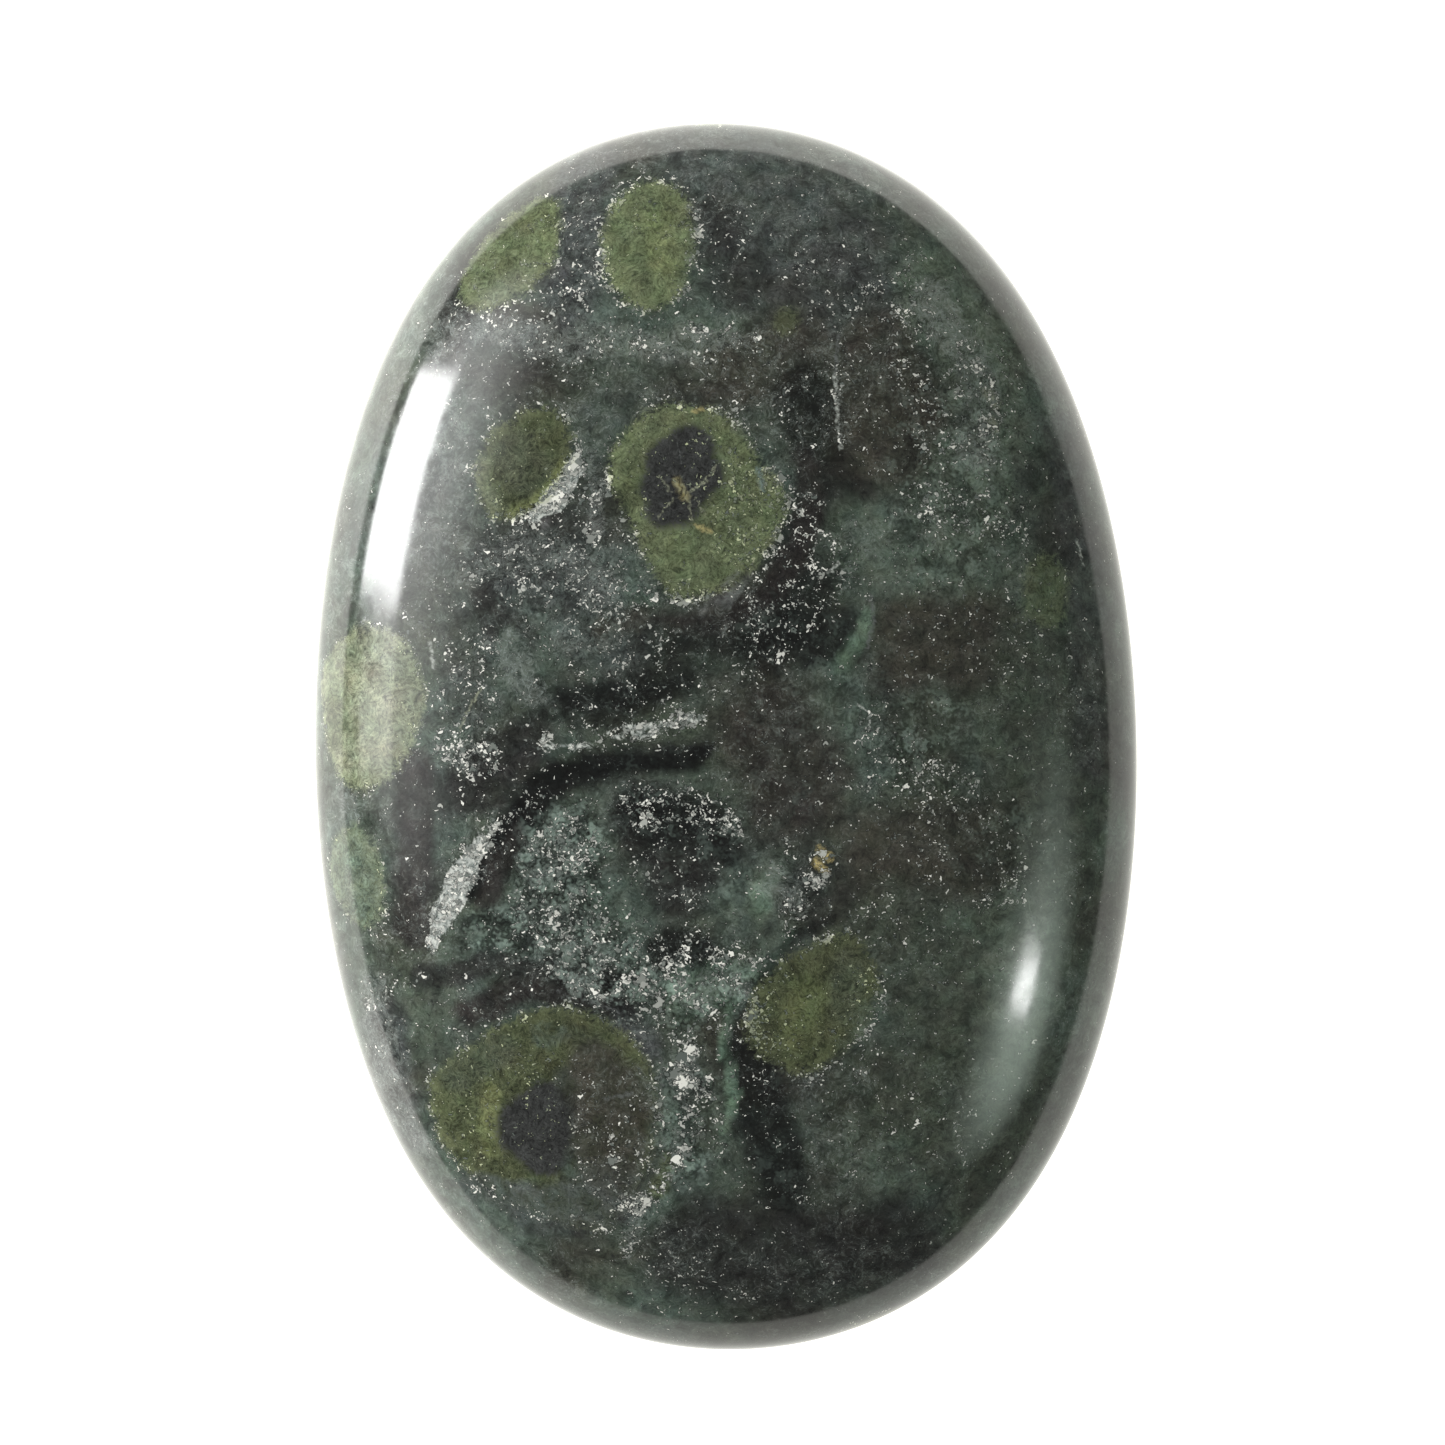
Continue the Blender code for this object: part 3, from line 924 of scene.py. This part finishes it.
for start, end, half_width, name, strength in HAIRS:
    root = on_stone(*start)
    step = on_stone(*end) - root
    per_length = step / float(step @ step)
    along = add("VectorMath", {0: hair_place, 1: per_length}, "Value", operation="DOT_PRODUCT")
    along = add("Math", {0: along, 1: -float(root @ per_length)}, operation="ADD", use_clamp=True)
    nearest = add("VectorMath", {0: step, 1: along, 2: root}, operation="MULTIPLY_ADD")
    away = add("VectorMath", {0: hair_place, 1: nearest}, "Value", operation="DISTANCE")
    falls = -strength / (half_width * pixel / MM * HAIR_FADE)
    mask = add("Math", {0: away, 1: falls, 2: strength * HAIR_REACH / HAIR_FADE}, operation="MULTIPLY_ADD")
    hair_masks[name] = add("Math", {0: mask, 1: hair_masks.get(name, 0.0)}, operation="MAXIMUM")
with_hairs = with_veins
for name, mask in hair_masks.items():
    mask = add("Math", {0: mask, 1: hair_broken}, operation="MULTIPLY")
    with_hairs = add("Mix", {0: mask, "A": with_hairs, "B": colour(name)}, 2, data_type="RGBA")

# %% Crystals, angular chips in three sizes that crowd together
from_rim = add("Math", {0: inside}, operation="ABSOLUTE")
rim_near = add("MapRange", {
    "Value": from_rim, "From Min": 0.1, "From Max": 0.45, "To Min": 0.9, "To Max": 0.0,
})
rim_dense = add("Math", {0: rim_near, 1: rim_crystals}, operation="MULTIPLY")
thin_on_orb = add("Math", {0: orb_mask, 1: -0.04, 2: crystal_layer}, operation="MULTIPLY_ADD")
dense = add("Math", {0: thin_on_orb, 1: rim_dense}, operation="ADD")
dense = add("Math", {0: vein_layer, 1: 0.5, 2: dense}, operation="MULTIPLY_ADD")
patchy = add("MapRange", {"Value": smear, "From Min": 0.4, "From Max": 0.66, "To Min": 0.12, "To Max": 1.7})
dense = add("Math", {0: dense, 1: patchy}, operation="MULTIPLY")
CRYSTALS = [
    # chips per mm, turn in degrees, stretch, share of the density, smallest and largest radius in cells
    (7.0, 20.0, 1.3, 1.0, 0.22, 0.55),
    (4.2, -40.0, 1.6, 0.6, 0.15, 0.6),
    (2.4, 35.0, 1.5, 0.4, 0.1, 0.75),
]
chip_white = add("Mix", {0: orb_mask, "A": colour("bright_chip"), "B": colour("orb_chip")}, 2,
                 data_type="RGBA")
bright = with_hairs
for per_mm, turn, stretch, share_of, smallest, largest in CRYSTALS:
    seed_place = add("Mapping", {"Vector": shaken, "Rotation": (0.0, 0.0, math.radians(turn)),
                                 "Scale": (stretch, 1.0, 1.0)}, vector_type="TEXTURE")
    away = add("TexVoronoi", {"Vector": seed_place, "Scale": per_mm})
    chance = add("SeparateColor", {0: away.node.outputs["Color"]})
    spare = add("Math", {0: dense, 1: share_of}, operation="MULTIPLY")
    spare = add("Math", {0: spare, 1: chance}, operation="SUBTRACT")
    grown = add("MapRange", {"Value": spare, "From Max": 0.45, "To Min": smallest, "To Max": largest})
    there = add("Math", {0: spare, 1: 0.0}, operation="GREATER_THAN")
    into = add("Math", {0: grown, 1: away}, operation="SUBTRACT")
    seen = add("MapRange", {"Value": into, "From Min": -0.03, "From Max": 0.05})
    seen = add("Math", {0: seen, 1: there}, operation="MULTIPLY")
    pocket = add("MapRange", {"Value": into, "From Min": -0.35, "From Max": -0.03, "To Max": 0.65})
    pocket = add("Math", {0: pocket, 1: there}, operation="MULTIPLY")
    whiteness = add("Math", {0: chance.node.outputs[2], 1: 1.5}, operation="POWER")
    tint = add("Mix", {0: whiteness, "A": colour("dull_chip"), "B": chip_white}, 2, data_type="RGBA")
    bright = add("Mix", {0: pocket, "A": bright, "B": colour("pocket")}, 2, data_type="RGBA")
    bright = add("Mix", {0: seen, "A": bright, "B": tint}, 2, data_type="RGBA")

# %% Polish
WAVE_HEIGHT = 0.006 * MM
QUARTZ_IOR = 1.54
waves = add("TexNoise", {"Vector": place, "Scale": 0.7, "Detail": 0.0})
relief = add("Bump", {"Height": waves, "Strength": 1.0, "Distance": WAVE_HEIGHT})
roughness = add("MapRange", {
    "Value": smear, "From Min": 0.3, "From Max": 0.7, "To Min": 0.09, "To Max": 0.17,
})
polish = add("BsdfPrincipled", {
    "Base Color": bright, "Roughness": roughness, "IOR": QUARTZ_IOR, "Normal": relief,
})
add("OutputMaterial", {"Surface": polish})
stone_mesh.materials.append(jasper)
print("nodes in the jasper:", len(nodes))

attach(stone, "root")
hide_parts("stone")

# %% [markdown]
# ## Light table and window
# The photograph has a pure white ground and no shadow, as on a light table. The floor is a white
# acrylic sheet that glows, most towards the window. A window on the left and a small lamp on the
# right leave their shapes on the rounded shoulders of the stone, so each is an area light of that
# shape, placed in the direction that the shoulder mirrors. The room is dim, apart from a soft
# bright patch near the window and another near the lamp.

# %% Floor
FLOOR_GAP = 0.02 * MM  # under the stone, so that its flat and the sheet don't share a plane
FLOOR_RADIUS = 1.5
floor_mesh = bpy.data.meshes.new("light_table")
sheet = bmesh.new()
bmesh.ops.create_circle(sheet, cap_ends=True, radius=FLOOR_RADIUS, segments=64)
sheet.to_mesh(floor_mesh)
sheet.free()
floor = bpy.data.objects.new("light_table", floor_mesh)
floor.location.z = -FLOOR_GAP
bpy.context.scene.collection.objects.link(floor)
acrylic = bpy.data.materials.new("white acrylic sheet")
acrylic.use_nodes = True
nodes = acrylic.node_tree.nodes
links = acrylic.node_tree.links
nodes.clear()
GLOW_TURN = math.radians(135.0)  # from +X, the way that the sheet grows brighter
GLOW_LEAST = (-0.04, 1.0)  # metres that way from the stone's middle, and the glow there
GLOW_MOST = (0.06, 2.6)
floor_place = add("TexCoord", {}, "Object")
speck = add("TexNoise", {"Vector": floor_place, "Scale": 300.0, "Detail": 0.0})
frosted = add("MapRange", {"Value": speck, "To Min": 0.45, "To Max": 0.6})
brighter_way = (math.cos(GLOW_TURN), math.sin(GLOW_TURN), 0.0)
that_way = add("VectorMath", {0: floor_place, 1: brighter_way}, "Value", operation="DOT_PRODUCT")
glow = add("MapRange", {
    "Value": that_way, "From Min": GLOW_LEAST[0], "From Max": GLOW_MOST[0],
    "To Min": GLOW_LEAST[1], "To Max": GLOW_MOST[1],
})
sheet_finish = add("BsdfPrincipled", {
    "Base Color": colour("acrylic"), "Roughness": frosted, "IOR": 1.49,
    "Emission Color": colour("glow"), "Emission Strength": glow,
})
add("OutputMaterial", {"Surface": sheet_finish})
floor_mesh.materials.append(acrylic)

# %% Lights
STONE_SHOULDER = Vector((0.0, 0.0, 11.0 * MM))
LIGHT_AWAY = 0.9  # metres, from there to each light


def towards(turn, rise):
    """The direction at this turn from +X and this rise over the horizon, in degrees."""
    turn = math.radians(turn)
    rise = math.radians(rise)
    return Vector((math.cos(rise) * math.cos(turn), math.cos(rise) * math.sin(turn), math.sin(rise)))


def panel(name, turns, rises, brightness):
    """A rectangular white light that fills these turns and rises, seen from the stone."""
    rise = sum(rises) / 2.0
    half_turn = math.radians(turns[1] - turns[0]) / 2.0
    half_rise = math.radians(rises[1] - rises[0]) / 2.0
    light = bpy.data.lights.new(name, "AREA")
    light.shape = "RECTANGLE"
    light.size = 2.0 * LIGHT_AWAY * math.tan(half_turn) * math.cos(math.radians(rise))
    light.size_y = 2.0 * LIGHT_AWAY * math.tan(half_rise)
    light.energy = brightness * math.pi * light.size * light.size_y
    lamp = bpy.data.objects.new(name, light)
    direction = towards(sum(turns) / 2.0, rise)
    lamp.location = STONE_SHOULDER + direction * LIGHT_AWAY
    lamp.rotation_euler = direction.to_track_quat("Z", "Y").to_euler()
    lamp.visible_camera = False
    bpy.context.scene.collection.objects.link(lamp)


panel("window", turns=(152.5, 173.0), rises=(9.0, 34.5), brightness=24.0)
panel("second_window", turns=(177.6, 182.0), rises=(15.5, 35.0), brightness=4.0)
panel("lamp", turns=(-18.0, -13.0), rises=(35.3, 43.2), brightness=22.0)

# %% Room
room = bpy.data.worlds.new("room")
room.use_nodes = True
bpy.context.scene.world = room
nodes = room.node_tree.nodes
links = room.node_tree.links
nodes.clear()
PATCHES = [
    # a bright patch's turn, rise, degrees where it is full and where it has faded, brightness, colour
    (158.0, 38.0, 10.0, 28.0, 4.0, "#ffffff"),
    (-20.0, 36.0, 5.0, 20.0, 4.5, "#d9ecdd"),
]
DIM = 0.15  # brightness of the room away from the patches
looking = add("TexCoord", {}, "Generated")
room_light = add("CombineXYZ", {0: DIM, 1: DIM, 2: DIM})
for turn, rise, full, faded, brightness, code in PATCHES:
    facing = add("VectorMath", {0: looking, 1: towards(turn, rise)}, "Value", operation="DOT_PRODUCT")
    edges = (math.cos(math.radians(faded)), math.cos(math.radians(full)))
    patch = add("MapRange", {"Value": facing, "From Min": edges[0], "From Max": edges[1]})
    patch = add("Math", {0: patch, 1: 2.0}, operation="POWER")
    lit = [brightness * part for part in linear(code)]
    room_light = add("VectorMath", {0: patch, 1: lit, 2: room_light}, operation="MULTIPLY_ADD")
add("OutputWorld", {"Surface": add("Background", {"Color": room_light, "Strength": 1.0})})

bpy.context.scene.view_settings.view_transform = "Standard"
